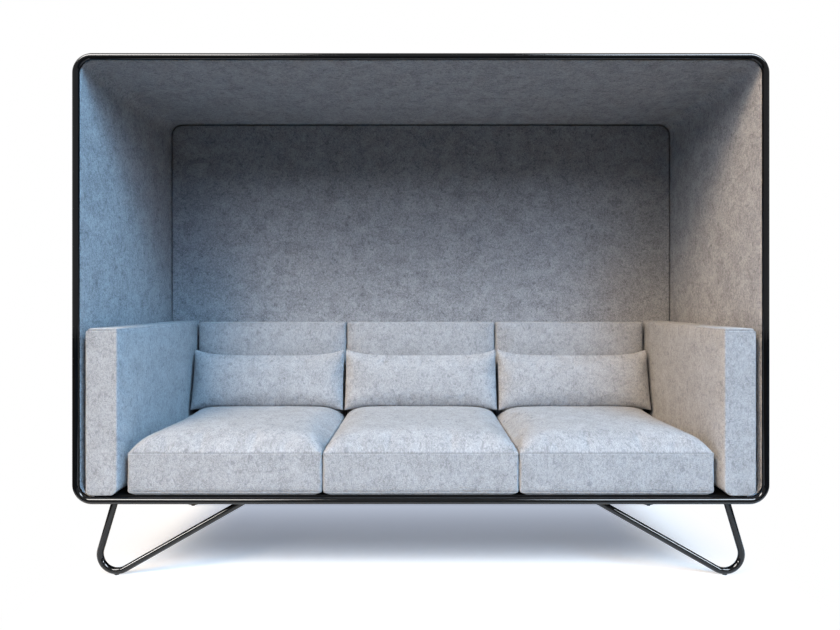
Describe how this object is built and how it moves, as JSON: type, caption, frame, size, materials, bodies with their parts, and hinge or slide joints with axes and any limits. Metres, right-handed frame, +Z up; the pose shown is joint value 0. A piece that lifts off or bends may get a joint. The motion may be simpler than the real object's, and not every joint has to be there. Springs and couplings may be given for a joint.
{
  "type": "high-back sofa",
  "caption": "Canopied high-back sofa: felt-covered sleeve with walls, roof and back, upholstered arms, loose seat and lumbar cushions, a black tube trim ring and bent tube legs.",
  "frame": {"origin": "on the floor under the middle of the sofa, at the bottom centre of its box", "axes": "+Z up, +X to the right of someone who looks at the front, the front faces -Y"},
  "size_m": [2.2, 0.8, 1.672],
  "materials": {
    "felt": "light grey melange wool felt",
    "panel_felt": "mid grey melange wool felt",
    "steel": "glossy black powder coat",
    "floor": "black stained plywood",
    "plywood": "birch plywood, hidden under the felt",
    "nylon": "black moulded nylon"
  },
  "bodies": {
    "frame": {"front_ring": "steel", "left_wall_core": "plywood", "right_wall_core": "plywood", "roof_core": "plywood", "floor_board": "floor", "canopy_cover": "felt", "canopy_lining": "felt", "back_board": "plywood", "back_cover": "felt", "back_panel": "panel_felt", "left_arm": "felt", "right_arm": "felt", "left_arm_core": "plywood", "right_arm_core": "plywood", "left_back_cushion": "felt", "middle_back_cushion": "felt", "right_back_cushion": "felt", "front_beam": "steel", "rear_beam": "steel", "left_cross_beam": "steel", "middle_cross_beam": "steel", "right_cross_beam": "steel", "front_left_beam_cap": "nylon", "front_right_beam_cap": "nylon", "rear_left_beam_cap": "nylon", "rear_right_beam_cap": "nylon", "front_left_leg": "steel", "front_right_leg": "steel", "rear_left_leg": "steel", "rear_right_leg": "steel", "front_left_glide": "nylon", "front_right_glide": "nylon", "rear_left_glide": "nylon", "rear_right_glide": "nylon"},
    "left_seat": {"left_seat_cushion": "felt"},
    "middle_seat": {"middle_seat_cushion": "felt"},
    "right_seat": {"right_seat_cushion": "felt"},
    "left_lumbar": {"left_lumbar_pillow": "felt"},
    "middle_lumbar": {"middle_lumbar_pillow": "felt"},
    "right_lumbar": {"right_lumbar_pillow": "felt"}
  },
  "joints": [
    {"name": "left_seat_lift", "type": "slide", "parent": "frame", "child": "left_seat", "axis": [0, -0.94, 0.3412], "range_m": [0, 0.75]},
    {"name": "middle_seat_lift", "type": "slide", "parent": "frame", "child": "middle_seat", "axis": [0, -0.94, 0.3412], "range_m": [0, 0.75]},
    {"name": "right_seat_lift", "type": "slide", "parent": "frame", "child": "right_seat", "axis": [0, -0.94, 0.3412], "range_m": [0, 0.75]},
    {"name": "left_lumbar_lift", "type": "slide", "parent": "left_seat", "child": "left_lumbar", "axis": [0, -0.866, 0.5], "range_m": [0, 0.7]},
    {"name": "middle_lumbar_lift", "type": "slide", "parent": "middle_seat", "child": "middle_lumbar", "axis": [0, -0.866, 0.5], "range_m": [0, 0.7]},
    {"name": "right_lumbar_lift", "type": "slide", "parent": "right_seat", "child": "right_lumbar", "axis": [0, -0.866, 0.5], "range_m": [0, 0.7]}
  ]
}
